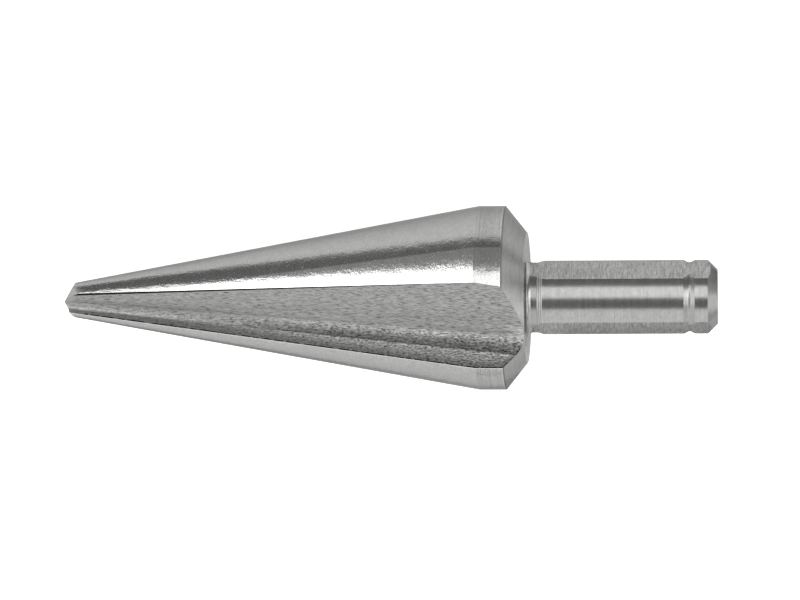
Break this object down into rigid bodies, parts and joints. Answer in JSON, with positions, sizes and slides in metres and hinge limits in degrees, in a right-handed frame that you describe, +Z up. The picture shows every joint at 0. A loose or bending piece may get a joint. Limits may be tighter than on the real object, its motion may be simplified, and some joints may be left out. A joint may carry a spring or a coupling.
{
  "type": "cone drill bit",
  "caption": "Fluted cone drill bit with a ground point, a parallel band at full diameter and a flatted round shank with a ring groove.",
  "frame": {"origin": "centre of the bounding box at the table, under the lying bit", "axes": "+X from the point toward the shank end, +Z up from the table; the bit lies on its lower flute with its axis rising 9.0 degrees toward +X"},
  "size_m": [0.0712, 0.02, 0.0179],
  "materials": {
    "ground_steel": "bright ground, fine grinding lines"
  },
  "bodies": {
    "root": {"cone_drill_bit": "ground_steel"}
  },
  "joints": []
}
